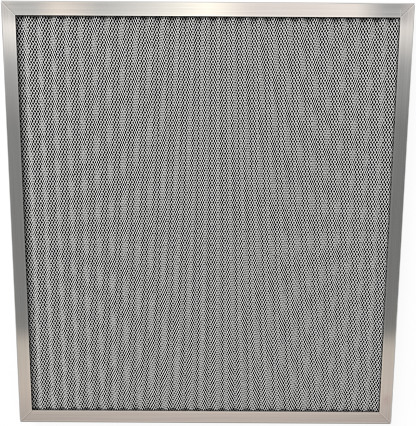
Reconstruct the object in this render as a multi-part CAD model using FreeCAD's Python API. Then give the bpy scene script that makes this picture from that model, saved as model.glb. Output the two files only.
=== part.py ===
import FreeCAD, Part
import math
import os

from FreeCAD import Placement, Rotation, Vector

# Washable electrostatic air filter: four mitred channel rails round two corrugated expanded-metal
# faces, with woven nets and a foam core between them. Lengths are in millimetres.
# +X is the width, +Y the height and +Z the depth, towards the front face, which lies uppermost.
# The origin is the middle of the rear face.

# Frame
frame_width = 504.8
frame_height = 546.1
frame_depth = 22.2
face_width = 17.5         # from a rail's outer edge to the fold of its lip
rail_wall = 0.8
bend_radius = 2.0         # outside radius of the channel's two long bends
hem_slot = 0.5            # gap inside the folded lip
hem_depth = 5.0           # how far the lip is folded back
mitre_gap = 0.1
corner_radius = 1.5       # the filed outer corners

# Corner keys, each held by two tongues lanced from the webs into its windows
key_wall = 1.5
key_leg = 30.0
key_bend_radius = 2.2
key_side_gap = 1.0        # between a key's long edge and the channel's bend
tongue_inset = 18.0       # from the frame's corner to the middle of a tongue
tongue_length = 6.0
tongue_width = 5.0
tongue_push = 1.1         # how far a tongue's free end is pushed in
tongue_gap = 0.15         # all round a tongue, in the web and in the key

# Media stack
media_edge_gap = 0.5      # between the keys and the edges of the layers
layer_gap = 0.1
honeycomb_net_wall = 1.5
fine_net_wall = 0.5

# Corrugated expanded-metal faces
mesh_wall = 0.6           # the sheet's thickness along Z
ridge_pitch = 16.8
ridge_height = 4.1        # from a valley to a crest, along the middle of the sheet
ridge_offset = -2.1       # the crest nearest to the middle of the filter
crest_facets = 4          # how many flats round a crest or a valley
slot_land = 0.35          # plain metal beside a slot, up to where the slope starts to curve
slot_bridge = 22.0        # plain metal between two slots in line
slot_edge_band = 24.0     # plain metal at the upper and lower edges of the sheet

# Worked out from the sizes above
hem_radius = rail_wall + hem_slot / 2
hem_thickness = 2 * hem_radius
key_height = frame_depth - 2 * (bend_radius + key_side_gap)
media_inset = rail_wall + key_wall + media_edge_gap
media_width = frame_width - 2 * media_inset
media_height = frame_height - 2 * media_inset
mesh_depth = ridge_height + mesh_wall

CUT_OVERRUN = 4.0
ALONG_X = Vector(1, 0, 0)
ALONG_Y = Vector(0, 1, 0)
ALONG_Z = Vector(0, 0, 1)
CORNER_SIGNS = {
    "bottom_left": (-1, -1),
    "bottom_right": (1, -1),
    "top_right": (1, 1),
    "top_left": (-1, 1),
}


def line(start, end):
    return Part.LineSegment(start, end).toShape()


def arc(start, middle, end):
    return Part.Arc(start, middle, end).toShape()


def bend(centre, radius, start_degrees, end_degrees):
    """An arc in the YZ plane, its angles counted from +Y towards +Z."""
    angles = (start_degrees, (start_degrees + end_degrees) / 2, end_degrees)
    points = []
    for degrees in angles:
        turn = math.radians(degrees)
        points.append(centre + Vector(0, math.cos(turn), math.sin(turn)) * radius)
    return arc(*points)


def chain(arcs):
    """The arcs in their order, joined by straight runs."""
    edges = [arcs[0]]
    for previous, following in zip(arcs, arcs[1:]):
        edges.append(line(end_of(previous), start_of(following)))
        edges.append(following)
    return edges


def start_of(edge):
    return edge.valueAt(edge.FirstParameter)


def end_of(edge):
    return edge.valueAt(edge.LastParameter)


def channel_skin(inset):
    """One skin of the channel's section, from the rear lip's end to the front lip's end."""
    fold_y = face_width - hem_radius
    lip_end_y = face_width - hem_depth
    rear_lip_z = hem_thickness - inset
    front_lip_z = frame_depth - rear_lip_z
    hem = hem_radius - inset
    corner = bend_radius - inset
    arcs = [
        bend(Vector(0, fold_y, hem_radius), hem, 90, -90),
        bend(Vector(0, bend_radius, bend_radius), corner, -90, -180),
        bend(Vector(0, bend_radius, frame_depth - bend_radius), corner, 180, 90),
        bend(Vector(0, fold_y, frame_depth - hem_radius), hem, 90, -90),
    ]
    run_in = line(Vector(0, lip_end_y, rear_lip_z), start_of(arcs[0]))
    run_out = line(end_of(arcs[-1]), Vector(0, lip_end_y, front_lip_z))
    return [run_in] + chain(arcs) + [run_out]


def strip_face(outer, inner):
    """The face between two skins that start and end side by side."""
    caps = [
        line(start_of(outer[0]), start_of(inner[0])),
        line(end_of(outer[-1]), end_of(inner[-1])),
    ]
    return Part.Face(Part.Wire(Part.__sortEdges__(outer + inner + caps)))


def mitre_blank(length):
    """The rail's plan between its two mitres, tall enough to cover the whole channel."""
    far_y = face_width + CUT_OVERRUN
    backed_off = length / 2 - mitre_gap / math.sqrt(2)
    corners = [
        Vector(-backed_off - CUT_OVERRUN, -CUT_OVERRUN, -CUT_OVERRUN),
        Vector(backed_off + CUT_OVERRUN, -CUT_OVERRUN, -CUT_OVERRUN),
        Vector(backed_off - far_y, far_y, -CUT_OVERRUN),
        Vector(-backed_off + far_y, far_y, -CUT_OVERRUN),
    ]
    plan = Part.Face(Part.makePolygon(corners + corners[:1]))
    return plan.extrude(ALONG_Z * (frame_depth + 2 * CUT_OVERRUN))


def corner_waste(length, side):
    """What the file takes off one outer corner of a rail."""
    reach = corner_radius * (1 - math.sqrt(0.5))

    def point(x, y):
        return Vector(side * (length / 2 - x), y, -CUT_OVERRUN)

    outline = [
        arc(point(corner_radius, 0), point(reach, reach), point(0, corner_radius)),
        line(point(0, corner_radius), point(-CUT_OVERRUN, corner_radius)),
        line(point(-CUT_OVERRUN, corner_radius), point(-CUT_OVERRUN, -CUT_OVERRUN)),
        line(point(-CUT_OVERRUN, -CUT_OVERRUN), point(corner_radius, -CUT_OVERRUN)),
        line(point(corner_radius, -CUT_OVERRUN), point(corner_radius, 0)),
    ]
    plan = Part.Face(Part.Wire(outline))
    return plan.extrude(ALONG_Z * (frame_depth + 2 * CUT_OVERRUN))


def tongue_window(near_y, far_y):
    """What is cut for the tongue at the origin's end of a rail, between two depths."""
    corner = Vector(
        tongue_inset - tongue_length / 2,
        near_y,
        frame_depth / 2 - tongue_width / 2 - tongue_gap,
    )
    length = tongue_length + tongue_gap
    return Part.makeBox(length, far_y - near_y, tongue_width + 2 * tongue_gap, corner)


def tongue():
    """The tongue at the origin's end of a rail, still joined to the web on its corner side."""
    hinge_x = tongue_inset - tongue_length / 2
    free_x = hinge_x + tongue_length
    z = frame_depth / 2 - tongue_width / 2
    corners = [
        Vector(hinge_x, 0, z),
        Vector(free_x, tongue_push, z),
        Vector(free_x, tongue_push + rail_wall, z),
        Vector(hinge_x, rail_wall, z),
    ]
    return Part.Face(Part.makePolygon(corners + corners[:1])).extrude(ALONG_Z * tongue_width)


def rail(length):
    """A rail along X with its outer edge on y = 0 and its lips towards +Y."""
    section = strip_face(channel_skin(0), channel_skin(rail_wall))
    section.translate(Vector(-length / 2, 0, 0))
    channel = section.extrude(Vector(length, 0, 0)).common(mitre_blank(length))
    left_end = Vector(-length / 2, 0, 0)
    window = tongue_window(-CUT_OVERRUN, rail_wall + CUT_OVERRUN).translated(left_end)
    left_tongue = tongue().translated(left_end)
    middle = Vector(0, 0, 0)
    waste = [window, window.mirror(middle, ALONG_X)]
    waste += [corner_waste(length, side) for side in (-1, 1)]
    return channel.cut(waste).fuse([left_tongue, left_tongue.mirror(middle, ALONG_X)])


def rail_places():
    """Where each rail stands: its length, its turn about +Z and the middle of its outer edge."""
    half_width = frame_width / 2
    half_height = frame_height / 2
    return {
        "bottom_rail": (frame_width, 0, Vector(0, -half_height, 0)),
        "right_rail": (frame_height, 90, Vector(half_width, 0, 0)),
        "top_rail": (frame_width, 180, Vector(0, half_height, 0)),
        "left_rail": (frame_height, 270, Vector(-half_width, 0, 0)),
    }


def placed(shape, degrees, position):
    shape.Placement = Placement(position, Rotation(ALONG_Z, degrees))
    return shape


def corner_key():
    """A bent key for the corner at the origin, its legs along +X and +Y inside the webs."""
    near = rail_wall
    inner = rail_wall + key_wall
    centre = near + key_bend_radius
    inner_radius = key_bend_radius - key_wall
    z = (frame_depth - key_height) / 2

    def round_the_corner(radius):
        reach = radius * math.sqrt(0.5)
        return arc(
            Vector(centre - radius, centre, z),
            Vector(centre - reach, centre - reach, z),
            Vector(centre, centre - radius, z),
        )

    outline = [
        round_the_corner(key_bend_radius),
        line(Vector(centre, near, z), Vector(key_leg, near, z)),
        line(Vector(key_leg, near, z), Vector(key_leg, inner, z)),
        line(Vector(key_leg, inner, z), Vector(centre, inner, z)),
        round_the_corner(inner_radius),
        line(Vector(inner, centre, z), Vector(inner, key_leg, z)),
        line(Vector(inner, key_leg, z), Vector(near, key_leg, z)),
        line(Vector(near, key_leg, z), Vector(near, centre, z)),
    ]
    plan = Part.Face(Part.Wire(Part.__sortEdges__(outline)))
    window = tongue_window(near - tongue_gap, inner + tongue_gap)
    diagonal = Vector(1, -1, 0)
    windows = [window, window.mirror(Vector(0, 0, 0), diagonal)]
    return plan.extrude(ALONG_Z * key_height).cut(windows)


def wave_skin(first, last, height):
    """Points along the wave in the XZ plane, at a height over its middle; even turns are crests.

    The wave is a cosine. It is followed in short flats for 45 degrees either side of each turn,
    and by one flat slope from there to the next turn.
    """
    points = []
    for turn in range(first, last + 1):
        up = 1 if turn % 2 == 0 else -1
        middle_x = ridge_offset + turn * ridge_pitch / 2
        for step in range(crest_facets + 1):
            phase = 90 * step / crest_facets - 45
            x = middle_x + phase / 360 * ridge_pitch
            z = up * ridge_height / 2 * math.cos(math.radians(phase))
            points.append(Vector(x, 0, z + height))
    return points


def slot(x, y, half_width, length):
    """A lozenge-shaped slot on one slope, as a tool that stands through the sheet."""
    corners = [
        Vector(x - half_width, y, -mesh_depth),
        Vector(x, y - length / 2, -mesh_depth),
        Vector(x + half_width, y, -mesh_depth),
        Vector(x, y + length / 2, -mesh_depth),
    ]
    lozenge = Part.Face(Part.makePolygon(corners + corners[:1]))
    return lozenge.extrude(ALONG_Z * (2 * mesh_depth))


def mesh_slots(first, last):
    """Two slots in line on each rising slope, and one between them on each falling slope."""
    half_width = ridge_pitch / 8 - slot_land
    length = (media_height - 2 * slot_edge_band - slot_bridge) / 2
    beside = (length + slot_bridge) / 2
    limit = media_width / 2 - half_width - slot_land
    slots = []
    for index in range(first, last):
        x = ridge_offset + (index + 0.5) * ridge_pitch / 2
        if abs(x) > limit:
            continue
        places = (0,) if index % 2 == 0 else (-beside, beside)
        for y in places:
            slots.append(slot(x, y, half_width, length))
    return slots


def corrugated_mesh():
    """One face of the filter, its ridges along Y, cut off at the edges as the sheet is."""
    reach = math.ceil((media_width / 2 + abs(ridge_offset)) / ridge_pitch) + 1
    first = -2 * reach
    last = 2 * reach
    upper = wave_skin(first, last, mesh_wall / 2)
    lower = wave_skin(first, last, -mesh_wall / 2)
    section = Part.Face(Part.makePolygon(upper + lower[::-1] + upper[:1]))
    section.translate(Vector(0, -media_height / 2 - CUT_OVERRUN, 0))
    sheet = section.extrude(ALONG_Y * (media_height + 2 * CUT_OVERRUN))
    blank = layer(2 * mesh_depth, -mesh_depth)
    return sheet.common(blank).cut(mesh_slots(first, last))


def layer(thickness, bottom):
    """A flat layer of the stack, with its lower side at the given height."""
    corner = Vector(-media_width / 2, -media_height / 2, bottom)
    return Part.makeBox(media_width, media_height, thickness, corner)


def media_stack():
    """The layers from the rear lips upwards; the foam fills what the others leave."""
    nodes = {}
    mesh = corrugated_mesh()
    mesh.translate(Vector(0, 0, frame_depth - hem_thickness - layer_gap - mesh_depth / 2))
    middle = Vector(0, 0, frame_depth / 2)
    nodes["front_mesh"] = mesh
    nodes["rear_mesh"] = mesh.mirror(middle, ALONG_Z)
    height = hem_thickness + mesh_depth + 2 * layer_gap
    for name, wall in (("honeycomb_net", honeycomb_net_wall), ("fine_net", fine_net_wall)):
        net = layer(wall, height)
        nodes["rear_" + name] = net
        nodes["front_" + name] = net.mirror(middle, ALONG_Z)
        height += wall + layer_gap
    nodes["foam_core"] = layer(frame_depth - 2 * height, height)
    return nodes


def frame():
    nodes = {}
    for name, (length, degrees, position) in rail_places().items():
        nodes[name] = placed(rail(length), degrees, position)
    for turn, (name, signs) in enumerate(CORNER_SIGNS.items()):
        position = Vector(signs[0] * frame_width / 2, signs[1] * frame_height / 2, 0)
        nodes[name + "_key"] = placed(corner_key(), 90 * turn, position)
    return nodes


def main():
    os.makedirs("parts", exist_ok=True)
    nodes = frame()
    nodes.update(media_stack())
    for name, shape in nodes.items():
        shape.exportStep(os.path.join("parts", name + ".step"))
        print(name, len(shape.Solids), "solids", round(shape.Volume), "mm3", shape.isValid())


main()
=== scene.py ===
"""Finish of a washable electrostatic air filter: the brushed aluminium rails, the
corrugated expanded sheet on both faces, and the nets and the foam between them."""

import math

import bpy
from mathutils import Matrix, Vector


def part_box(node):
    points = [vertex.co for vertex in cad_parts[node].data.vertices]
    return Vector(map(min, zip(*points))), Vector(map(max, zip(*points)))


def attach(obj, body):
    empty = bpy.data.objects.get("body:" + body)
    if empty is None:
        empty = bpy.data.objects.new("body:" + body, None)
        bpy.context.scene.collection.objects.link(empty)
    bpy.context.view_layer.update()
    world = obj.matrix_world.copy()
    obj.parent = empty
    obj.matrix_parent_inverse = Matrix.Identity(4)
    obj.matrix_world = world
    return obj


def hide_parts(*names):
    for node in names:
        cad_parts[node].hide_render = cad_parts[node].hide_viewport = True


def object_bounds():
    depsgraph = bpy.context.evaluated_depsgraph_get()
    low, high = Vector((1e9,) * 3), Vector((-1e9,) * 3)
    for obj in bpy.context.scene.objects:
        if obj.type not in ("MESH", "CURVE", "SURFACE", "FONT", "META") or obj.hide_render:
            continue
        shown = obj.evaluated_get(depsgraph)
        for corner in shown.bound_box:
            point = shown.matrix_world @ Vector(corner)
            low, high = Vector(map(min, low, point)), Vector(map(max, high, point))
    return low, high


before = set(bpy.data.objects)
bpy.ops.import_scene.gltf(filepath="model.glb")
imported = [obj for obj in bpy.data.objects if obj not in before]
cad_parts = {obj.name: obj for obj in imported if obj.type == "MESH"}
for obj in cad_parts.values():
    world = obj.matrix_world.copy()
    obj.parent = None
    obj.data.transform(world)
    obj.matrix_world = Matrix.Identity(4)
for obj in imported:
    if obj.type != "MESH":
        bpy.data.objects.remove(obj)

cad_low, cad_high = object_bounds()

MM = 0.001
BODY = "root"

# The panel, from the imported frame
PANEL_HALF_WIDTH = cad_high.x
PANEL_HALF_HEIGHT = cad_high.y
PANEL_MIDDLE_Z = (cad_low.z + cad_high.z) / 2
FACE_WIDTH = 17.5 * MM
OPENING_HALF_WIDTH = PANEL_HALF_WIDTH - FACE_WIDTH
OPENING_HALF_HEIGHT = PANEL_HALF_HEIGHT - FACE_WIDTH
CORNER_KEYS = ("bottom_left_key", "bottom_right_key", "top_right_key", "top_left_key")

# Lines on a rail's face: distances from the mitre, from the outer edge, and from the hem
MITRE_LINE = 1.7 * MM
EDGE_FADE = 0.6 * MM
ROLL_LINE = 3.3 * MM
ROLL_LINE_WIDTH = 1.1 * MM
BEAD_START = 1.9 * MM
BEAD_FULL = 1.3 * MM
HEM_TURN = 0.30 * MM
HEM_WALL = 0.12 * MM

# What sets the rails apart: a grain that runs along the rail, and the light and shade painted at its
# edges: painted shade along the outer edge and on the hem's wall, and at the mitre painted shade on the
# end rails and a painted highlight on the side rails
TOP_RAIL_LOOK = {
    "stretch": (7.0, 520.0, 520.0),
    "mitre_painted_light": (0.52, 0.515, 0.51, 1.0),
    "edge_painted_shade": (0.56, 0.56, 0.55, 1.0),
    "edge_line": 1.1 * MM,
    "roll_line": 0.0,
    "wall_shade": 1.0,
}
BOTTOM_RAIL_LOOK = {
    "stretch": (7.0, 520.0, 520.0),
    "mitre_painted_light": (0.50, 0.49, 0.48, 1.0),
    "edge_painted_shade": (0.42, 0.425, 0.405, 1.0),
    "edge_line": 1.9 * MM,
    "roll_line": 0.9,
    "wall_shade": 0.0,
}
SIDE_RAIL_LOOK = {
    "stretch": (520.0, 7.0, 520.0),
    "mitre_painted_light": (0.98, 0.98, 0.97, 1.0),
    "edge_painted_shade": (0.42, 0.42, 0.41, 1.0),
    "edge_line": 1.1 * MM,
    "roll_line": 0.2,
    "wall_shade": 1.0,
}

# The rails' aluminium
RAIL_GRAIN_DARK = (0.63, 0.627, 0.618, 1.0)
RAIL_GRAIN_LIGHT = (0.765, 0.762, 0.753, 1.0)
RAIL_GRAIN_CONTRAST = 2.2
RAIL_WARM_CLOUD = (0.705, 0.685, 0.67, 1.0)
RAIL_CLOUD_CONTRAST = 1.8
RAIL_CLOUD_SHARE = 0.2
ROLL_LINE_COLOUR = (0.83, 0.83, 0.82, 1.0)
# Painted highlight: the hem bead is made lighter than the rail
HEM_BEAD_HIGHLIGHT = (0.82, 0.815, 0.80, 1.0)
# Painted shade: the hem's inner wall is made nearly black
HEM_WALL_PAINTED_SHADE = (0.12, 0.12, 0.12, 1.0)
RAIL_ROUGHNESS = 0.08
RAIL_ROUGHNESS_GRAIN = 0.05
RAIL_GRAIN_DEPTH = 0.003 * MM

# Marks of use on the front
SCRATCH_X = 234.6 * MM
SCRATCH_FROM = 254.7 * MM
SCRATCH_FADES_IN = 2.0 * MM
SCRATCH_TO = 267.0 * MM
SCRATCH_FADES_OUT = 3.0 * MM
SCRATCH_WIDTH = 1.1 * MM
SCRATCH_STRENGTH = 0.9
SCRATCH_COLOUR = (0.85, 0.85, 0.84, 1.0)
SMUDGE_PLACE = (243.4 * MM, -237.8 * MM, 22.2 * MM)
SMUDGE_SHAPE = (1.0, 0.6, 0.0)
SMUDGE_REACH = 8.0 * MM
SMUDGE_GRAIN = 260.0
SMUDGE_COLOUR = (0.56, 0.47, 0.50, 1.0)

# The corner keys' aluminium
KEY_STRETCH = (60.0, 60.0, 1500.0)
KEY_CLOUDS = 60.0
KEY_DARK = (0.68, 0.68, 0.68, 1.0)
KEY_LIGHT = (0.78, 0.78, 0.77, 1.0)
KEY_GRAIN_CONTRAST = 0.6
KEY_ROUGHNESS = 0.38
KEY_ROUGHNESS_CLOUDS = 0.2

# The corrugation
RIDGE_PITCH = 16.8 * MM
RIDGE_HEIGHT = 4.1 * MM
CREST_X = -2.7 * MM
SLOPE_WIDTH = 5.8 * MM
CREST_ROUND = 1.0 * MM
VALLEY_ROUND = 0.15
PROFILE_POINTS = 1800

# The diamonds
DIAMONDS_PER_RIDGE = 5.472
DIAMOND_HEIGHT = 6.28 * MM
STRAND_WIDTH = 0.60 * MM
STRAND_DEPTH = 0.26 * MM
STRAND_TWIST = 0.06
ROW_LEAN = -0.0035
STRAND_LEAN = -0.010
SHEET_END_MARGIN = 2.6 * MM
SHEET_SIDE_STRANDS = 2
SECTION_CORNERS = 3
SECTION_WIDTH = math.sqrt(3.0)
SECTION_DEPTH = 1.5

# The strands' aluminium, with the lips' shadow painted dark along the opening's edges
STRAND_METAL = 0.1
STRAND_STRETCH = (900.0, 300.0, 900.0)
STRAND_CLOUDS = 40.0
STRAND_DARK = (0.92, 0.92, 0.91, 1.0)
STRAND_LIGHT = (0.98, 0.98, 0.97, 1.0)
STRAND_CONTRAST = 0.8
STRAND_ROUGHNESS = 0.4
STRAND_ROUGHNESS_CLOUDS = 0.2
LIP_SHADOW_FROM = 0.2 * MM
LIP_SHADOW_TO = 1.6 * MM
LIP_SHADOW_COLOUR = (0.06, 0.06, 0.06, 1.0)
LIP_SHADOW_AT_ENDS = 0.75
LIP_SHADOW_AT_SIDES = 0.55

# The nets and the foam
NET_CELL = 4.0 * MM
NET_RELIEF = 0.5 * MM
FINE_NET_CELL = 8.0 * MM
FINE_NET_RELIEF = 0.12 * MM
FOAM_CELL = 8.0 * MM
FOAM_WANDER = 0.25 * MM
LAYER_SEED = 7
NET_DARK = (0.0012, 0.0012, 0.0014, 1.0)
# Painted highlights: the nets' thread crowns are made lighter than the black threads
HONEYCOMB_CROWN_HIGHLIGHT = (0.005, 0.005, 0.006, 1.0)
HONEYCOMB_THREAD = 2.0 * MM
FINE_NET_CROWN_HIGHLIGHT = (0.006, 0.006, 0.007, 1.0)
FINE_NET_THREAD = 0.6 * MM
THREAD_RELIEF = 0.3
NET_ROUGHNESS = 0.6
CROWN_POLISH = -0.2
NET_GLOSS = 0.04
FOAM_PORES = 900.0
FOAM_WEB_EDGE = (0.03, 0.2)
FOAM_PORE_COLOUR = (0.008, 0.008, 0.009, 1.0)
FOAM_WEB_COLOUR = (0.03, 0.03, 0.032, 1.0)
FOAM_ROUGHNESS = 0.9
FOAM_PORE_DEPTH = 0.3 * MM

# The camera
PHOTO_HEIGHT_PIXELS = 426
FOCAL_LENGTH_PIXELS = 415
CAMERA_SENSOR = 36.0
CAMERA_PLACE = (1.24 * MM, 71.54 * MM, 550.82 * MM)
CAMERA_TILT = math.radians(-6.171)
CAMERA_ROLL = math.radians(0.338)
CAMERA_NEAREST = 0.01
FILTER_WIDTH = 1.1

# The floor
FLOOR_REACH = 6.0
FLOOR_DROP = -0.1 * MM
FLOOR_COLOUR = (0.85, 0.85, 0.85, 1.0)
FLOOR_WHITENESS = 0.9

# The studio's light, and what the flat rails mirror: lights by direction, as Y or X over Z
EVEN_LIGHT = (0.72, 0.72, 0.72, 1.0)
WHITE = (1.0, 1.0, 1.0, 1.0)
SOFT_BOX_PLACE = (-0.95, 1.1, 1.15)
SOFT_BOX_SIDE = 0.7
SOFT_BOX_WATTS = 29.0
SIDES_DIM = -0.6
LEFT_TO_RIGHT_DIM = -0.16
DIM_STARTS = (-0.46, -0.36)
LOWEST_RISE = 0.2
CEILING_ENDS = (0.7, 0.5)
CEILING_ALONG = (
    (-0.70, (0.55, 0.49, 0.47)),
    (-0.56, (0.86, 0.75, 0.66)),
    (-0.44, (0.79, 0.72, 0.63)),
    (-0.40, (0.31, 0.31, 0.30)),
    (-0.12, (0.30, 0.30, 0.30)),
    (0.10, (0.33, 0.33, 0.33)),
    (0.24, (0.59, 0.59, 0.59)),
    (0.33, (1.40, 1.34, 1.27)),
)
HEAD_ACROSS = (
    (-0.50, (0.82, 0.78, 0.75)),
    (-0.465, (0.77, 0.73, 0.70)),
    (-0.445, (0.64, 0.65, 0.64)),
    (-0.40, (0.67, 0.67, 0.66)),
    (-0.35, (1.12, 1.00, 0.89)),
    (-0.25, (0.70, 0.70, 0.68)),
    (-0.13, (1.05, 1.03, 0.98)),
    (0.0, (1.57, 1.49, 1.32)),
    (0.10, (1.02, 0.94, 0.89)),
    (0.25, (1.07, 0.98, 0.94)),
    (0.34, (1.19, 1.10, 1.04)),
    (0.40, (0.55, 0.55, 0.55)),
    (0.445, (0.485, 0.485, 0.485)),
    (0.465, (0.83, 0.77, 0.75)),
    (0.50, (0.89, 0.83, 0.80)),
)
HEAD_STARTS = (0.325, 0.345)


# Short calls for node trees

def add(tree, kind, **settings):
    """A new node with the settings that are given."""
    node = tree.nodes.new(kind)
    for name, value in settings.items():
        setattr(node, name, value)
    return node


def feed(tree, socket, value):
    """Joins an output to a socket, or sets the socket's own value."""
    if isinstance(value, bpy.types.NodeSocket):
        tree.links.new(value, socket)
    else:
        socket.default_value = value


def sum_of(tree, operation, *values):
    """The result of one Math node."""
    node = add(tree, "ShaderNodeMath", operation=operation)
    for socket, value in zip(node.inputs, values):
        feed(tree, socket, value)
    return node.outputs[0]


def vector_sum(tree, operation, *values):
    """The result of one Vector Math node."""
    node = add(tree, "ShaderNodeVectorMath", operation=operation)
    for socket, value in zip(node.inputs, values):
        feed(tree, socket, value)
    return node.outputs[0]


def between(tree, value, low, high, low_result=0.0, high_result=1.0):
    """A smooth step of a value from one result to another."""
    node = add(tree, "ShaderNodeMapRange", interpolation_type="SMOOTHSTEP")
    for name, number in (
        ("Value", value),
        ("From Min", low),
        ("From Max", high),
        ("To Min", low_result),
        ("To Max", high_result),
    ):
        feed(tree, node.inputs[name], number)
    return node.outputs["Result"]


def parts_of(tree, vector):
    """The X, Y and Z of a vector."""
    node = add(tree, "ShaderNodeSeparateXYZ")
    feed(tree, node.inputs[0], vector)
    return node.outputs


def vector_of(tree, x, y, z):
    """A vector of three values."""
    node = add(tree, "ShaderNodeCombineXYZ")
    for socket, value in zip(node.inputs, (x, y, z)):
        feed(tree, socket, value)
    return node.outputs[0]


def noise(tree, vector, scale, detail=3.0, roughness=0.5):
    """Noise from 0 to 1 about a half."""
    node = add(tree, "ShaderNodeTexNoise")
    feed(tree, node.inputs["Vector"], vector)
    feed(tree, node.inputs["Scale"], scale)
    feed(tree, node.inputs["Detail"], detail)
    feed(tree, node.inputs["Roughness"], roughness)
    return node.outputs["Fac"]


def blend_colours(tree, factor, first, second):
    """Two colours mixed by a factor."""
    node = add(tree, "ShaderNodeMix", data_type="RGBA")
    feed(tree, node.inputs[0], factor)
    feed(tree, node.inputs[6], first)
    feed(tree, node.inputs[7], second)
    return node.outputs[2]


def blend_vectors(tree, factor, first, second):
    """Two vectors mixed by a factor."""
    node = add(tree, "ShaderNodeMix", data_type="VECTOR")
    feed(tree, node.inputs[0], factor)
    feed(tree, node.inputs[4], first)
    feed(tree, node.inputs[5], second)
    return node.outputs[1]


def new_group(name, kind, inputs, outputs):
    """A node tree with named sockets, and its input and output nodes."""
    tree = bpy.data.node_groups.new(name, kind)
    for socket_name, socket_kind, value in inputs:
        socket = tree.interface.new_socket(socket_name, in_out="INPUT", socket_type=socket_kind)
        if value is not None:
            socket.default_value = value
    for socket_name, socket_kind in outputs:
        tree.interface.new_socket(socket_name, in_out="OUTPUT", socket_type=socket_kind)
    return tree, add(tree, "NodeGroupInput").outputs, add(tree, "NodeGroupOutput").inputs


def use_group(tree, group, **values):
    """A shader group placed in a material with its own values."""
    node = add(tree, "ShaderNodeGroup", node_tree=group)
    for name, value in values.items():
        feed(tree, node.inputs[name.replace("_", " ")], value)
    return node.outputs


def finished_geometry(tree, geometry, material):
    """Real geometry, with its material."""
    real = add(tree, "GeometryNodeRealizeInstances")
    feed(tree, real.inputs[0], geometry)
    finished = add(tree, "GeometryNodeSetMaterial")
    feed(tree, finished.inputs["Geometry"], real.outputs[0])
    feed(tree, finished.inputs["Material"], material)
    return finished.outputs[0]


# The corrugated expanded sheet

def corrugated_profile(tree, sizes):
    """The sheet's section across its ridges, as a curve from its low to its high end in X."""
    start = vector_of(tree, sizes["Low X"], 0.0, 0.0)
    end = vector_of(tree, sizes["High X"], 0.0, 0.0)
    line = add(tree, "GeometryNodeCurvePrimitiveLine", mode="POINTS")
    feed(tree, line.inputs["Start"], start)
    feed(tree, line.inputs["End"], end)
    fine = add(tree, "GeometryNodeResampleCurve", mode="COUNT")
    feed(tree, fine.inputs["Curve"], line.outputs[0])
    feed(tree, fine.inputs["Count"], PROFILE_POINTS)
    x = parts_of(tree, add(tree, "GeometryNodeInputPosition").outputs[0])["X"]
    half_pitch = sum_of(tree, "MULTIPLY", sizes["Ridge Pitch"], 0.5)
    from_crest = sum_of(tree, "PINGPONG", sum_of(tree, "SUBTRACT", x, sizes["Crest X"]), half_pitch)
    round_part = sum_of(tree, "MULTIPLY", sizes["Crest Round"], sizes["Crest Round"])
    rounded = sum_of(tree, "SQRT", sum_of(tree, "MULTIPLY_ADD", from_crest, from_crest, round_part))
    away = sum_of(tree, "SUBTRACT", rounded, sizes["Crest Round"])
    fall = sum_of(tree, "DIVIDE", away, sizes["Slope Width"])
    left_over = sum_of(tree, "SUBTRACT", 1.0, fall)
    level = sum_of(tree, "SMOOTH_MAX", left_over, 0.0, sizes["Valley Round"])
    from_middle = sum_of(tree, "SUBTRACT", level, 0.5)
    reach = sum_of(tree, "MULTIPLY", sizes["Ridge Height"], sizes["Facing"])
    height = sum_of(tree, "MULTIPLY_ADD", from_middle, reach, sizes["Middle Z"])
    place = add(tree, "GeometryNodeSetPosition")
    feed(tree, place.inputs["Geometry"], fine.outputs[0])
    feed(tree, place.inputs["Position"], vector_of(tree, x, 0.0, height))
    return place.outputs[0]


def strand_grid(tree, sizes):
    """One straight poly curve for each strand, with its number as X and its steps as Y."""
    numbers = add(tree, "GeometryNodeMeshLine", mode="OFFSET", count_mode="TOTAL")
    feed(tree, numbers.inputs["Count"], sizes["Strand Count"])
    feed(tree, numbers.inputs["Start Location"], vector_of(tree, sizes["First Strand"], 0.0, 0.0))
    feed(tree, numbers.inputs["Offset"], (1.0, 0.0, 0.0))
    last_step = sum_of(tree, "SUBTRACT", sizes["Step Count"], 1.0)
    line = add(tree, "GeometryNodeCurvePrimitiveLine", mode="POINTS")
    feed(tree, line.inputs["End"], vector_of(tree, 0.0, last_step, 0.0))
    steps = add(tree, "GeometryNodeResampleCurve", mode="COUNT")
    feed(tree, steps.inputs["Curve"], line.outputs[0])
    feed(tree, steps.inputs["Count"], sizes["Step Count"])
    copies = add(tree, "GeometryNodeInstanceOnPoints")
    feed(tree, copies.inputs["Points"], numbers.outputs[0])
    feed(tree, copies.inputs["Instance"], steps.outputs[0])
    real = add(tree, "GeometryNodeRealizeInstances")
    feed(tree, real.inputs[0], copies.outputs[0])
    return real.outputs[0]


def strand_section(tree, sizes):
    """A strand's section: a ridge that faces out, with a flat behind it."""
    circle = add(tree, "GeometryNodeCurvePrimitiveCircle", mode="RADIUS")
    feed(tree, circle.inputs["Resolution"], SECTION_CORNERS)
    feed(tree, circle.inputs["Radius"], 1.0)
    quarter = sum_of(tree, "MULTIPLY", sizes["Facing"], -math.pi / 2)
    turned = add(tree, "GeometryNodeTransform")
    feed(tree, turned.inputs["Geometry"], circle.outputs[0])
    feed(tree, turned.inputs["Rotation"], vector_of(tree, 0.0, 0.0, quarter))
    wide = sum_of(tree, "DIVIDE", sizes["Strand Width"], SECTION_WIDTH)
    deep = sum_of(tree, "DIVIDE", sizes["Strand Depth"], SECTION_DEPTH)
    scaled = add(tree, "GeometryNodeTransform")
    feed(tree, scaled.inputs["Geometry"], turned.outputs[0])
    feed(tree, scaled.inputs["Scale"], vector_of(tree, wide, deep, 1.0))
    return scaled.outputs[0]


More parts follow.
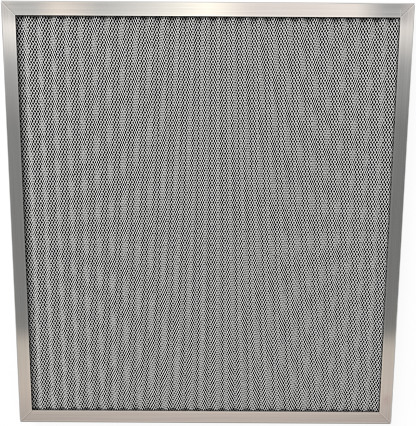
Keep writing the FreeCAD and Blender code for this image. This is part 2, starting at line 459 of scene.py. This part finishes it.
def expanded_sheet_tree():
    """Strands that zigzag up the ridges, each meeting the next at every second step."""
    tree, sizes, result = new_group(
        "Expanded Sheet",
        "GeometryNodeTree",
        (
            ("Low X", "NodeSocketFloat", 0.0),
            ("High X", "NodeSocketFloat", 0.1),
            ("Low Y", "NodeSocketFloat", 0.0),
            ("Middle Z", "NodeSocketFloat", 0.0),
            ("Facing", "NodeSocketFloat", 1.0),
            ("Crest X", "NodeSocketFloat", 0.0),
            ("Ridge Pitch", "NodeSocketFloat", 0.02),
            ("Ridge Height", "NodeSocketFloat", 0.004),
            ("Slope Width", "NodeSocketFloat", 0.007),
            ("Crest Round", "NodeSocketFloat", 0.001),
            ("Valley Round", "NodeSocketFloat", 0.1),
            ("Diamond Width", "NodeSocketFloat", 0.004),
            ("Diamond Height", "NodeSocketFloat", 0.006),
            ("Strand Width", "NodeSocketFloat", 0.001),
            ("Strand Depth", "NodeSocketFloat", 0.0005),
            ("Strand Twist", "NodeSocketFloat", 0.0),
            ("Row Lean", "NodeSocketFloat", 0.0),
            ("Strand Lean", "NodeSocketFloat", 0.0),
            ("First Strand", "NodeSocketInt", 0),
            ("Strand Count", "NodeSocketInt", 10),
            ("Step Count", "NodeSocketInt", 10),
            ("Finish", "NodeSocketMaterial", None),
        ),
        (("Sheet", "NodeSocketGeometry"),),
    )
    profile = corrugated_profile(tree, sizes)
    strands = strand_grid(tree, sizes)
    grid_place = parts_of(tree, add(tree, "GeometryNodeInputPosition").outputs[0])
    number = sum_of(tree, "ROUND", grid_place["X"])
    step = sum_of(tree, "ROUND", grid_place["Y"])
    column = sum_of(tree, "MULTIPLY", sizes["Diamond Width"], 0.5)
    side = sum_of(tree, "MODULO", sum_of(tree, "ADD", number, step), 2.0)
    side = sum_of(tree, "MULTIPLY_ADD", side, -2.0, 1.0)
    height = sum_of(tree, "MULTIPLY", sum_of(tree, "MULTIPLY", sizes["Diamond Height"], 0.5), step)
    from_middle = sum_of(tree, "ADD", height, sizes["Low Y"])
    swing = sum_of(tree, "MULTIPLY", sum_of(tree, "MULTIPLY", column, 0.5), side)
    length = sum_of(tree, "MULTIPLY_ADD", sum_of(tree, "ADD", number, 0.5), column, swing)
    length = sum_of(tree, "MULTIPLY_ADD", from_middle, sizes["Strand Lean"], length)
    sample = add(tree, "GeometryNodeSampleCurve", mode="LENGTH", use_all_curves=False)
    feed(tree, sample.inputs["Curves"], profile)
    feed(tree, sample.inputs["Length"], length)
    on_profile = parts_of(tree, sample.outputs["Position"])
    y = sum_of(tree, "MULTIPLY_ADD", on_profile["X"], sizes["Row Lean"], from_middle)
    direction = parts_of(tree, sample.outputs["Tangent"])
    slope = sum_of(tree, "ARCTAN2", direction["Z"], direction["X"])
    tilt = sum_of(tree, "SUBTRACT", sizes["Strand Twist"], slope)
    tilted = add(tree, "GeometryNodeSetCurveTilt")
    feed(tree, tilted.inputs["Curve"], strands)
    feed(tree, tilted.inputs["Tilt"], tilt)
    placed = add(tree, "GeometryNodeSetPosition")
    feed(tree, placed.inputs["Geometry"], tilted.outputs[0])
    feed(tree, placed.inputs["Position"], vector_of(tree, on_profile["X"], y, on_profile["Z"]))
    upright = add(tree, "GeometryNodeSetCurveNormal", mode="Z_UP")
    feed(tree, upright.inputs["Curve"], placed.outputs[0])
    solid = add(tree, "GeometryNodeCurveToMesh")
    feed(tree, solid.inputs["Curve"], upright.outputs[0])
    feed(tree, solid.inputs["Profile Curve"], strand_section(tree, sizes))
    feed(tree, solid.inputs["Fill Caps"], True)
    flat = add(tree, "GeometryNodeSetShadeSmooth")
    feed(tree, flat.inputs["Geometry"], solid.outputs[0])
    feed(tree, flat.inputs["Shade Smooth"], False)
    feed(tree, result["Sheet"], finished_geometry(tree, flat.outputs[0], sizes["Finish"]))
    return tree


def mesh_from_tree(name, tree, values):
    """A plain mesh object with what a geometry tree makes of the values."""
    maker = bpy.data.objects.new(name + "_maker", bpy.data.meshes.new(name + "_maker"))
    bpy.context.scene.collection.objects.link(maker)
    modifier = maker.modifiers.new(tree.name, "NODES")
    modifier.node_group = tree
    for item in tree.interface.items_tree:
        if item.item_type == "SOCKET" and item.name in values:
            modifier[item.identifier] = values[item.name]
    graph = bpy.context.evaluated_depsgraph_get()
    mesh = bpy.data.meshes.new_from_object(maker.evaluated_get(graph))
    bpy.data.objects.remove(maker)
    mesh.name = name
    piece = bpy.data.objects.new(name, mesh)
    bpy.context.scene.collection.objects.link(piece)
    return piece


def profile_height(x):
    """The height of the corrugated section at a place in X, above its valleys."""
    from_crest = abs((x - CREST_X + RIDGE_PITCH / 2) % RIDGE_PITCH - RIDGE_PITCH / 2)
    level = 1.0 - (math.hypot(from_crest, CREST_ROUND) - CREST_ROUND) / SLOPE_WIDTH
    near = max(VALLEY_ROUND - abs(level), 0.0) / VALLEY_ROUND
    return RIDGE_HEIGHT * (max(level, 0.0) + near**3 * VALLEY_ROUND / 6)


def profile_length(low_x, high_x):
    """The length of the corrugated section between two places in X."""
    width = (high_x - low_x) / PROFILE_POINTS
    heights = [profile_height(low_x + step * width) for step in range(PROFILE_POINTS + 1)]
    return sum(math.hypot(width, after - before) for before, after in zip(heights, heights[1:]))


def expanded_face(node, facing, tree, finish):
    """Both halves of one face's expanded sheet, in the place of its node."""
    low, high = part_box(node)
    low_y = low.y + SHEET_END_MARGIN
    diamond_width = profile_length(0.0, RIDGE_PITCH) / DIAMONDS_PER_RIDGE
    strands = int(profile_length(low.x, high.x) / (diamond_width / 2)) - SHEET_SIDE_STRANDS
    steps = int((high.y - low.y - 2 * SHEET_END_MARGIN) / (DIAMOND_HEIGHT / 2)) + 1
    middle = strands // 2
    for side, first, count in (
        ("left", SHEET_SIDE_STRANDS, middle - SHEET_SIDE_STRANDS),
        ("right", middle, strands - middle),
    ):
        piece = mesh_from_tree(f"{node}_{side}", tree, {
            "Low X": low.x,
            "High X": high.x,
            "Low Y": low_y,
            "Middle Z": (low.z + high.z) / 2,
            "Facing": facing,
            "Crest X": CREST_X,
            "Ridge Pitch": RIDGE_PITCH,
            "Ridge Height": RIDGE_HEIGHT,
            "Slope Width": SLOPE_WIDTH,
            "Crest Round": CREST_ROUND,
            "Valley Round": VALLEY_ROUND,
            "Diamond Width": diamond_width,
            "Diamond Height": DIAMOND_HEIGHT,
            "Strand Width": STRAND_WIDTH,
            "Strand Depth": STRAND_DEPTH,
            "Strand Twist": STRAND_TWIST,
            "Row Lean": ROW_LEAN,
            "Strand Lean": STRAND_LEAN,
            "First Strand": first,
            "Strand Count": count,
            "Step Count": steps,
            "Finish": finish,
        })
        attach(piece, BODY)
        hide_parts(node)


# The nets and the foam

def soft_layer_tree():
    """A closed sheet whose cells stand high and low in turn, as woven, or wander inwards."""
    tree, sizes, result = new_group(
        "Soft Layer",
        "GeometryNodeTree",
        (
            ("Middle", "NodeSocketVector", None),
            ("Size", "NodeSocketVector", None),
            ("Cells Across", "NodeSocketInt", 10),
            ("Cells Along", "NodeSocketInt", 10),
            ("Weave Relief", "NodeSocketFloat", 0.0),
            ("Wander", "NodeSocketFloat", 0.0),
            ("Seed", "NodeSocketInt", 0),
            ("Finish", "NodeSocketMaterial", None),
        ),
        (("Layer", "NodeSocketGeometry"),),
    )
    size = parts_of(tree, sizes["Size"])
    box = add(tree, "GeometryNodeMeshCube")
    thickness = sum_of(tree, "SUBTRACT", size["Z"], sizes["Weave Relief"])
    feed(tree, box.inputs["Size"], vector_of(tree, size["X"], size["Y"], thickness))
    feed(tree, box.inputs["Vertices X"], sum_of(tree, "ADD", sizes["Cells Across"], 1))
    feed(tree, box.inputs["Vertices Y"], sum_of(tree, "ADD", sizes["Cells Along"], 1))
    feed(tree, box.inputs["Vertices Z"], 2)
    place = parts_of(tree, add(tree, "GeometryNodeInputPosition").outputs[0])
    counts = []
    for axis, cells in (("X", "Cells Across"), ("Y", "Cells Along")):
        share = sum_of(tree, "ADD", sum_of(tree, "DIVIDE", place[axis], size[axis]), 0.5)
        counts.append(sum_of(tree, "ROUND", sum_of(tree, "MULTIPLY", share, sizes[cells])))
    turn = sum_of(tree, "MODULO", sum_of(tree, "ADD", *counts), 2.0)
    over = sum_of(tree, "MULTIPLY", sum_of(tree, "SUBTRACT", turn, 0.5), sizes["Weave Relief"])
    chance = add(tree, "FunctionNodeRandomValue", data_type="FLOAT")
    feed(tree, chance.inputs["Seed"], sizes["Seed"])
    wander = sum_of(tree, "MULTIPLY", chance.outputs[1], sizes["Wander"])
    inwards = sum_of(tree, "MULTIPLY", sum_of(tree, "SIGN", place["Z"]), -1.0)
    inwards = sum_of(tree, "MULTIPLY", inwards, wander)
    moved = add(tree, "GeometryNodeSetPosition")
    feed(tree, moved.inputs["Geometry"], box.outputs[0])
    feed(tree, moved.inputs["Offset"], vector_of(tree, 0.0, 0.0, sum_of(tree, "ADD", over, inwards)))
    home = add(tree, "GeometryNodeTransform")
    feed(tree, home.inputs["Geometry"], moved.outputs[0])
    feed(tree, home.inputs["Translation"], sizes["Middle"])
    smooth = add(tree, "GeometryNodeSetShadeSmooth")
    feed(tree, smooth.inputs["Geometry"], home.outputs[0])
    feed(tree, result["Layer"], finished_geometry(tree, smooth.outputs[0], sizes["Finish"]))
    return tree


def soft_layer(node, tree, cell, relief, wander, finish):
    """A net or the foam in the place of its node, with cells of about one size."""
    low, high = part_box(node)
    size = high - low
    piece = mesh_from_tree(f"{node}_layer", tree, {
        "Middle": (low + high) / 2,
        "Size": size,
        "Cells Across": round(size.x / cell),
        "Cells Along": round(size.y / cell),
        "Weave Relief": relief,
        "Wander": wander,
        "Seed": LAYER_SEED,
        "Finish": finish,
    })
    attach(piece, BODY)
    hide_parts(node)
    return piece


# Shader groups that more than one finish uses

def brushed_grain_group():
    """Streaks along the grain, and broad clouds, as values about zero."""
    group, given, result = new_group(
        "Brushed Grain",
        "ShaderNodeTree",
        (
            ("Vector", "NodeSocketVector", None),
            ("Stretch", "NodeSocketVector", (1800.0, 12.0, 1800.0)),
            ("Cloud Scale", "NodeSocketFloat", 22.0),
        ),
        (("Streaks", "NodeSocketFloat"), ("Clouds", "NodeSocketFloat")),
    )
    stretched = vector_sum(group, "MULTIPLY", given["Vector"], given["Stretch"])
    fine = noise(group, stretched, scale=1.0, detail=4.0, roughness=0.6)
    clouds = noise(group, given["Vector"], scale=given["Cloud Scale"], detail=2.0)
    feed(group, result["Streaks"], sum_of(group, "SUBTRACT", fine, 0.5))
    feed(group, result["Clouds"], sum_of(group, "SUBTRACT", clouds, 0.5))
    return group


def line_mask(tree, distance, middle, half_width):
    """One along a line at a distance, and none beyond its half width."""
    away = sum_of(tree, "ABSOLUTE", sum_of(tree, "SUBTRACT", distance, middle))
    return between(tree, away, 0.0, half_width, 1.0, 0.0)


def face_place_group():
    """Masks of a rail's mitre, outer edge, roll line, hem bead and hem wall, and its normal; the mitre,
    outer edge, bead and wall masks carry painted highlight and shade.
    """
    group, given, result = new_group(
        "Face Place",
        "ShaderNodeTree",
        (
            ("Vector", "NodeSocketVector", None),
            ("Half Width", "NodeSocketFloat", 0.25),
            ("Half Height", "NodeSocketFloat", 0.27),
            ("Face Width", "NodeSocketFloat", 0.0175),
            ("Mitre Line", "NodeSocketFloat", 0.001),
            ("Edge Line", "NodeSocketFloat", 0.001),
            ("Wall Shade", "NodeSocketFloat", 1.0),
        ),
        (
            ("Mitre", "NodeSocketFloat"),
            ("Outer Edge", "NodeSocketFloat"),
            ("Roll Line", "NodeSocketFloat"),
            ("Hem Bead Highlight", "NodeSocketFloat"),
            ("Hem Wall Shade", "NodeSocketFloat"),
            ("Normal", "NodeSocketVector"),
        ),
    )
    place = parts_of(group, given["Vector"])
    from_side = sum_of(group, "SUBTRACT", given["Half Width"], sum_of(group, "ABSOLUTE", place["X"]))
    from_end = sum_of(group, "SUBTRACT", given["Half Height"], sum_of(group, "ABSOLUTE", place["Y"]))
    apart = sum_of(group, "ABSOLUTE", sum_of(group, "SUBTRACT", from_side, from_end))
    from_mitre = sum_of(group, "DIVIDE", apart, math.sqrt(2.0))
    feed(group, result["Mitre"], between(group, from_mitre, 0.0, given["Mitre Line"], 1.0, 0.0))
    from_edge = sum_of(group, "MINIMUM", from_side, from_end)
    edge_end = sum_of(group, "ADD", given["Edge Line"], EDGE_FADE)
    feed(group, result["Outer Edge"], between(group, from_edge, given["Edge Line"], edge_end, 1.0, 0.0))
    to_hem = sum_of(group, "SUBTRACT", given["Face Width"], from_edge)
    feed(group, result["Roll Line"], line_mask(group, from_edge, ROLL_LINE, ROLL_LINE_WIDTH))
    # Painted highlight on the hem bead
    bead_highlight = between(group, to_hem, BEAD_FULL, BEAD_START, 1.0, 0.0)
    # Painted shade on the hem's inner wall
    wall_painted_shade = between(group, to_hem, HEM_WALL, HEM_TURN, given["Wall Shade"], 0.0)
    feed(group, result["Hem Bead Highlight"], bead_highlight)
    feed(group, result["Hem Wall Shade"], wall_painted_shade)
    outwards = sum_of(group, "SIGN", sum_of(group, "SUBTRACT", place["Z"], PANEL_MIDDLE_Z))
    own_normal = add(group, "ShaderNodeNewGeometry").outputs["Normal"]
    turned = sum_of(group, "SUBTRACT", bead_highlight, wall_painted_shade)
    flattened = blend_vectors(group, turned, own_normal, vector_of(group, 0.0, 0.0, outwards))
    feed(group, result["Normal"], vector_sum(group, "NORMALIZE", flattened))
    return group


def handling_marks_group():
    """The front's marks of use: a short scratch on the top rail and a smudge low on the right rail."""
    group, given, result = new_group(
        "Handling Marks",
        "ShaderNodeTree",
        (("Vector", "NodeSocketVector", None),),
        (("Scratch", "NodeSocketFloat"), ("Smudge", "NodeSocketFloat")),
    )
    place = parts_of(group, given["Vector"])
    front = between(group, place["Z"], PANEL_MIDDLE_Z, cad_high.z)
    starts = between(group, place["Y"], SCRATCH_FROM, SCRATCH_FROM + SCRATCH_FADES_IN)
    ends = between(group, place["Y"], SCRATCH_TO, SCRATCH_TO - SCRATCH_FADES_OUT)
    line = line_mask(group, place["X"], SCRATCH_X, SCRATCH_WIDTH)
    scratch = sum_of(group, "MULTIPLY", sum_of(group, "MULTIPLY", starts, ends), line)
    feed(group, result["Scratch"], sum_of(group, "MULTIPLY", scratch, front))
    away = vector_sum(group, "SUBTRACT", given["Vector"], SMUDGE_PLACE)
    away = vector_sum(group, "MULTIPLY", away, SMUDGE_SHAPE)
    length = add(group, "ShaderNodeVectorMath", operation="LENGTH")
    feed(group, length.inputs[0], away)
    near = between(group, length.outputs["Value"], 0.0, SMUDGE_REACH, 1.0, 0.0)
    smeared = sum_of(group, "MULTIPLY", near, noise(group, given["Vector"], SMUDGE_GRAIN))
    feed(group, result["Smudge"], sum_of(group, "MULTIPLY", smeared, front))
    return group


def weave_group():
    """Over and under threads of a woven sheet, as one height from 0 to 1."""
    group, given, result = new_group(
        "Weave",
        "ShaderNodeTree",
        (("Vector", "NodeSocketVector", None), ("Thread Pitch", "NodeSocketFloat", 0.001)),
        (("Height", "NodeSocketFloat"),),
    )
    place = parts_of(group, given["Vector"])
    waves = []
    for axis in ("X", "Y"):
        threads = sum_of(group, "DIVIDE", place[axis], given["Thread Pitch"])
        waves.append(sum_of(group, "SINE", sum_of(group, "MULTIPLY", threads, math.pi)))
    product = sum_of(group, "MULTIPLY", *waves)
    feed(group, result["Height"], sum_of(group, "MULTIPLY_ADD", product, 0.5, 0.5))
    return group


# Finishes

def new_material(name):
    """A material with its tree, its Principled shader and the Object coordinates."""
    material = bpy.data.materials.new(name)
    material.use_nodes = True
    tree = material.node_tree
    tree.nodes.clear()
    shader = add(tree, "ShaderNodeBsdfPrincipled")
    output = add(tree, "ShaderNodeOutputMaterial")
    feed(tree, output.inputs["Surface"], shader.outputs[0])
    place = add(tree, "ShaderNodeTexCoord").outputs["Object"]
    return material, tree, shader, place


def bump(tree, shader, height, depth, normal=None):
    """Relief on a shader's normal, with its depth in metres."""
    node = add(tree, "ShaderNodeBump")
    feed(tree, node.inputs["Strength"], 1.0)
    feed(tree, node.inputs["Distance"], depth)
    feed(tree, node.inputs["Height"], height)
    if normal is not None:
        feed(tree, node.inputs["Normal"], normal)
    feed(tree, shader.inputs["Normal"], node.outputs[0])


def rail_aluminium(name, look, grain, face_place, marks):
    """Brushed mill aluminium of a rail, with its roll line and marks of use, and light and shade
    painted at its mitre, outer edge and hem.
    """
    material, tree, shader, place = new_material(name)
    shader.inputs["Metallic"].default_value = 1.0
    streaks = use_group(tree, grain, Vector=place, Stretch=look["stretch"])
    where = use_group(
        tree,
        face_place,
        Vector=place,
        Half_Width=PANEL_HALF_WIDTH,
        Half_Height=PANEL_HALF_HEIGHT,
        Face_Width=FACE_WIDTH,
        Mitre_Line=MITRE_LINE,
        Edge_Line=look["edge_line"],
        Wall_Shade=look["wall_shade"],
    )
    handled = use_group(tree, marks, Vector=place)
    tone = sum_of(tree, "MULTIPLY_ADD", streaks["Streaks"], RAIL_GRAIN_CONTRAST, 0.5)
    warm = sum_of(tree, "MULTIPLY_ADD", streaks["Clouds"], RAIL_CLOUD_CONTRAST, RAIL_CLOUD_SHARE)
    lines = sum_of(tree, "MULTIPLY", where["Roll Line"], look["roll_line"])
    scratch = sum_of(tree, "MULTIPLY", handled["Scratch"], SCRATCH_STRENGTH)
    colour = blend_colours(tree, tone, RAIL_GRAIN_DARK, RAIL_GRAIN_LIGHT)
    # Painted light on the rail: a painted highlight on the hem bead, painted shade on the outer edge
    # and the hem's wall, and at the mitre painted shade on the end rails and a painted highlight on the
    # side rails
    for mask, over in (
        (warm, RAIL_WARM_CLOUD),
        (lines, ROLL_LINE_COLOUR),
        (where["Hem Bead Highlight"], HEM_BEAD_HIGHLIGHT),
        (where["Outer Edge"], look["edge_painted_shade"]),
        (where["Mitre"], look["mitre_painted_light"]),
        (where["Hem Wall Shade"], HEM_WALL_PAINTED_SHADE),
        (scratch, SCRATCH_COLOUR),
        (handled["Smudge"], SMUDGE_COLOUR),
    ):
        colour = blend_colours(tree, mask, colour, over)
    feed(tree, shader.inputs["Base Color"], colour)
    rough = sum_of(tree, "MULTIPLY_ADD", streaks["Streaks"], RAIL_ROUGHNESS_GRAIN, RAIL_ROUGHNESS)
    feed(tree, shader.inputs["Roughness"], rough)
    bump(tree, shader, streaks["Streaks"], RAIL_GRAIN_DEPTH, where["Normal"])
    return material


def strand_aluminium(grain):
    """Bright expanded sheet, a little uneven from strand to strand, with the lips' shadow painted dark
    along the opening's edges.
    """
    material, tree, shader, place = new_material("Expanded sheet aluminium")
    shader.inputs["Metallic"].default_value = STRAND_METAL
    streaks = use_group(
        tree, grain, Vector=place, Stretch=STRAND_STRETCH, Cloud_Scale=STRAND_CLOUDS)
    tone = sum_of(tree, "MULTIPLY_ADD", streaks["Streaks"], STRAND_CONTRAST, 0.5)
    colour = blend_colours(tree, tone, STRAND_DARK, STRAND_LIGHT)
    at = parts_of(tree, place)
    to_end = sum_of(tree, "SUBTRACT", OPENING_HALF_HEIGHT, sum_of(tree, "ABSOLUTE", at["Y"]))
    to_side = sum_of(tree, "SUBTRACT", OPENING_HALF_WIDTH, sum_of(tree, "ABSOLUTE", at["X"]))
    # Painted shadow of the lips: the strands turn dark close to the opening's edges
    end_lip_shadow = between(tree, to_end, LIP_SHADOW_FROM, LIP_SHADOW_TO, LIP_SHADOW_AT_ENDS, 0.0)
    side_lip_shadow = between(tree, to_side, LIP_SHADOW_FROM, LIP_SHADOW_TO, LIP_SHADOW_AT_SIDES, 0.0)
    lip_shadow = sum_of(tree, "MAXIMUM", end_lip_shadow, side_lip_shadow)
    feed(tree, shader.inputs["Base Color"], blend_colours(tree, lip_shadow, colour, LIP_SHADOW_COLOUR))
    rough = sum_of(
        tree, "MULTIPLY_ADD", streaks["Clouds"], STRAND_ROUGHNESS_CLOUDS, STRAND_ROUGHNESS)
    feed(tree, shader.inputs["Roughness"], rough)
    return material


def key_aluminium(grain):
    """Plain mill aluminium of the corner keys."""
    material, tree, shader, place = new_material("Corner key aluminium")
    shader.inputs["Metallic"].default_value = 1.0
    streaks = use_group(tree, grain, Vector=place, Stretch=KEY_STRETCH, Cloud_Scale=KEY_CLOUDS)
    tone = sum_of(tree, "MULTIPLY_ADD", streaks["Streaks"], KEY_GRAIN_CONTRAST, 0.5)
    feed(tree, shader.inputs["Base Color"], blend_colours(tree, tone, KEY_DARK, KEY_LIGHT))
    rough = sum_of(tree, "MULTIPLY_ADD", streaks["Clouds"], KEY_ROUGHNESS_CLOUDS, KEY_ROUGHNESS)
    feed(tree, shader.inputs["Roughness"], rough)
    return material


def net_plastic(name, thread_pitch, light, weave):
    """Black woven monofilament, smoother on its thread crowns, with a painted highlight that makes the
    crowns a little lighter.
    """
    material, tree, shader, place = new_material(name)
    height = use_group(tree, weave, Vector=place, Thread_Pitch=thread_pitch)["Height"]
    # Painted highlight: the weave's crowns take the lighter colour
    feed(tree, shader.inputs["Base Color"], blend_colours(tree, height, NET_DARK, light))
    rough = sum_of(tree, "MULTIPLY_ADD", height, CROWN_POLISH, NET_ROUGHNESS)
    feed(tree, shader.inputs["Roughness"], rough)
    shader.inputs["Specular IOR Level"].default_value = NET_GLOSS
    bump(tree, shader, height, thread_pitch * THREAD_RELIEF)
    return material


def foam_material():
    """Open-cell foam: dark pores in a slightly lighter web."""
    material, tree, shader, place = new_material("Open cell foam")
    cells = add(tree, "ShaderNodeTexVoronoi", feature="DISTANCE_TO_EDGE")
    feed(tree, cells.inputs["Vector"], place)
    feed(tree, cells.inputs["Scale"], FOAM_PORES)
    web = between(tree, cells.outputs["Distance"], *FOAM_WEB_EDGE, 1.0, 0.0)
    colour = blend_colours(tree, web, FOAM_PORE_COLOUR, FOAM_WEB_COLOUR)
    feed(tree, shader.inputs["Base Color"], colour)
    shader.inputs["Roughness"].default_value = FOAM_ROUGHNESS
    bump(tree, shader, web, FOAM_PORE_DEPTH)
    return material


def dress(node, material):
    """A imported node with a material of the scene."""
    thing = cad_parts[node]
    if not thing.material_slots:
        thing.data.materials.append(material)
    for place in thing.material_slots:
        place.material = material


# The studio

def shown_ray(tree):
    """One for what the camera sees, straight, in metal or through glass, and none for plain light."""
    path = add(tree, "ShaderNodeLightPath").outputs
    seen = sum_of(tree, "ADD", path["Is Camera Ray"], path["Is Glossy Ray"])
    return sum_of(tree, "MINIMUM", sum_of(tree, "ADD", seen, path["Is Transmission Ray"]), 1.0)


def studio_floor():
    """A plain white floor that keeps the panel's shadow."""
    mesh = bpy.data.meshes.new("studio_floor")
    corners = [
        (FLOOR_REACH * x, FLOOR_REACH * y, FLOOR_DROP)
        for x, y in ((-1, -1), (1, -1), (1, 1), (-1, 1))
    ]
    mesh.from_pydata(corners, [], [(0, 1, 2, 3)])
    floor = bpy.data.objects.new("studio_floor", mesh)
    bpy.context.scene.collection.objects.link(floor)
    material = bpy.data.materials.new("Studio floor")
    material.use_nodes = True
    tree = material.node_tree
    tree.nodes.clear()
    lit = add(tree, "ShaderNodeBsdfDiffuse")
    lit.inputs["Color"].default_value = FLOOR_COLOUR
    white = add(tree, "ShaderNodeEmission")
    white.inputs["Strength"].default_value = 1.0
    both = add(tree, "ShaderNodeMixShader")
    feed(tree, both.inputs[0], sum_of(tree, "MULTIPLY", shown_ray(tree), FLOOR_WHITENESS))
    feed(tree, both.inputs[1], lit.outputs[0])
    feed(tree, both.inputs[2], white.outputs[0])
    feed(tree, add(tree, "ShaderNodeOutputMaterial").inputs["Surface"], both.outputs[0])
    mesh.materials.append(material)


def reflected_band(tree, value, stops):
    """Smooth change from one colour to the next along a direction of the studio."""
    low, high = stops[0][0], stops[-1][0]
    share = sum_of(tree, "DIVIDE", sum_of(tree, "SUBTRACT", value, low), high - low)
    ramp = add(tree, "ShaderNodeValToRGB")
    feed(tree, ramp.inputs["Fac"], share)
    elements = ramp.color_ramp.elements
    for at, (place, colour) in enumerate(stops):
        element = elements[at] if at < len(elements) else elements.new(1.0)
        element.position = (place - low) / (high - low)
        element.color = (*colour, 1.0)
    return ramp.outputs["Color"]


def studio_world():
    """Even light, and the studio that the metal mirrors: white at the head, dim over the panel."""
    world = bpy.data.worlds.new("Studio")
    bpy.context.scene.world = world
    world.use_nodes = True
    world.cycles.sampling_method = "NONE"
    tree = world.node_tree
    tree.nodes.clear()
    direction = parts_of(tree, add(tree, "ShaderNodeTexCoord").outputs["Generated"])
    up = sum_of(tree, "MAXIMUM", direction["Z"], LOWEST_RISE)
    across = sum_of(tree, "DIVIDE", direction["X"], up)
    along = sum_of(tree, "DIVIDE", direction["Y"], up)
    squared = sum_of(tree, "MULTIPLY", across, across)
    dim = sum_of(tree, "MULTIPLY_ADD", squared, SIDES_DIM, 1.0)
    lean = between(tree, along, *DIM_STARTS, 0.0, LEFT_TO_RIGHT_DIM)
    dim = sum_of(tree, "MULTIPLY_ADD", across, lean, dim)
    ceiling = vector_sum(tree, "MULTIPLY", reflected_band(tree, along, CEILING_ALONG), dim)
    head = reflected_band(tree, across, HEAD_ACROSS)
    ceiling = blend_colours(tree, between(tree, along, *HEAD_STARTS), ceiling, head)
    low_down = between(tree, direction["Z"], *CEILING_ENDS)
    seen = blend_colours(tree, low_down, ceiling, WHITE)
    colour = blend_colours(tree, shown_ray(tree), EVEN_LIGHT, seen)
    background = add(tree, "ShaderNodeBackground")
    feed(tree, background.inputs["Color"], colour)
    feed(tree, add(tree, "ShaderNodeOutputWorld").inputs["Surface"], background.outputs[0])


def soft_box():
    """A soft box at the panel's head and left, which the metal doesn't mirror."""
    light = bpy.data.lights.new("soft_box", "AREA")
    light.shape = "SQUARE"
    light.size = SOFT_BOX_SIDE
    light.energy = SOFT_BOX_WATTS
    lamp = bpy.data.objects.new("soft_box", light)
    bpy.context.scene.collection.objects.link(lamp)
    lamp.visible_glossy = False
    lamp.visible_camera = False
    lamp.location = SOFT_BOX_PLACE
    lamp.rotation_euler = Vector(SOFT_BOX_PLACE).to_track_quat("Z", "Y").to_euler()


def photo_camera():
    """The camera at the photograph's place and angle."""
    lens = bpy.data.cameras.new("photo_camera")
    lens.sensor_width = CAMERA_SENSOR
    lens.lens = CAMERA_SENSOR * FOCAL_LENGTH_PIXELS / PHOTO_HEIGHT_PIXELS
    lens.clip_start = CAMERA_NEAREST
    camera = bpy.data.objects.new("photo_camera", lens)
    bpy.context.scene.collection.objects.link(camera)
    camera.location = CAMERA_PLACE
    camera.rotation_euler = (CAMERA_TILT, 0.0, CAMERA_ROLL)
    bpy.context.scene.camera = camera


bpy.context.scene.view_settings.view_transform = "Standard"
bpy.context.scene.cycles.use_denoising = False
bpy.context.scene.cycles.pixel_filter_type = "GAUSSIAN"
bpy.context.scene.cycles.filter_width = FILTER_WIDTH
photo_camera()
studio_world()
studio_floor()
soft_box()

grain = brushed_grain_group()
face_place = face_place_group()
marks = handling_marks_group()
weave = weave_group()

top_finish = rail_aluminium("Top rail aluminium", TOP_RAIL_LOOK, grain, face_place, marks)
bottom_finish = rail_aluminium(
    "Bottom rail aluminium", BOTTOM_RAIL_LOOK, grain, face_place, marks)
side_finish = rail_aluminium("Side rail aluminium", SIDE_RAIL_LOOK, grain, face_place, marks)
dress("top_rail", top_finish)
dress("bottom_rail", bottom_finish)
for rail in ("left_rail", "right_rail"):
    dress(rail, side_finish)
key_finish = key_aluminium(grain)
for key in CORNER_KEYS:
    dress(key, key_finish)

sheet_tree = expanded_sheet_tree()
strand_finish = strand_aluminium(grain)
expanded_face("front_mesh", 1.0, sheet_tree, strand_finish)
expanded_face("rear_mesh", -1.0, sheet_tree, strand_finish)

layer_tree = soft_layer_tree()
honeycomb = net_plastic("Honeycomb net", HONEYCOMB_THREAD, HONEYCOMB_CROWN_HIGHLIGHT, weave)
fine = net_plastic("Fine net", FINE_NET_THREAD, FINE_NET_CROWN_HIGHLIGHT, weave)
for face in ("front", "rear"):
    net = soft_layer(
        f"{face}_honeycomb_net", layer_tree, NET_CELL, NET_RELIEF, 0.0, honeycomb)
    net = soft_layer(
        f"{face}_fine_net", layer_tree, FINE_NET_CELL, FINE_NET_RELIEF, 0.0, fine)
foam = soft_layer("foam_core", layer_tree, FOAM_CELL, 0.0, FOAM_WANDER, foam_material())
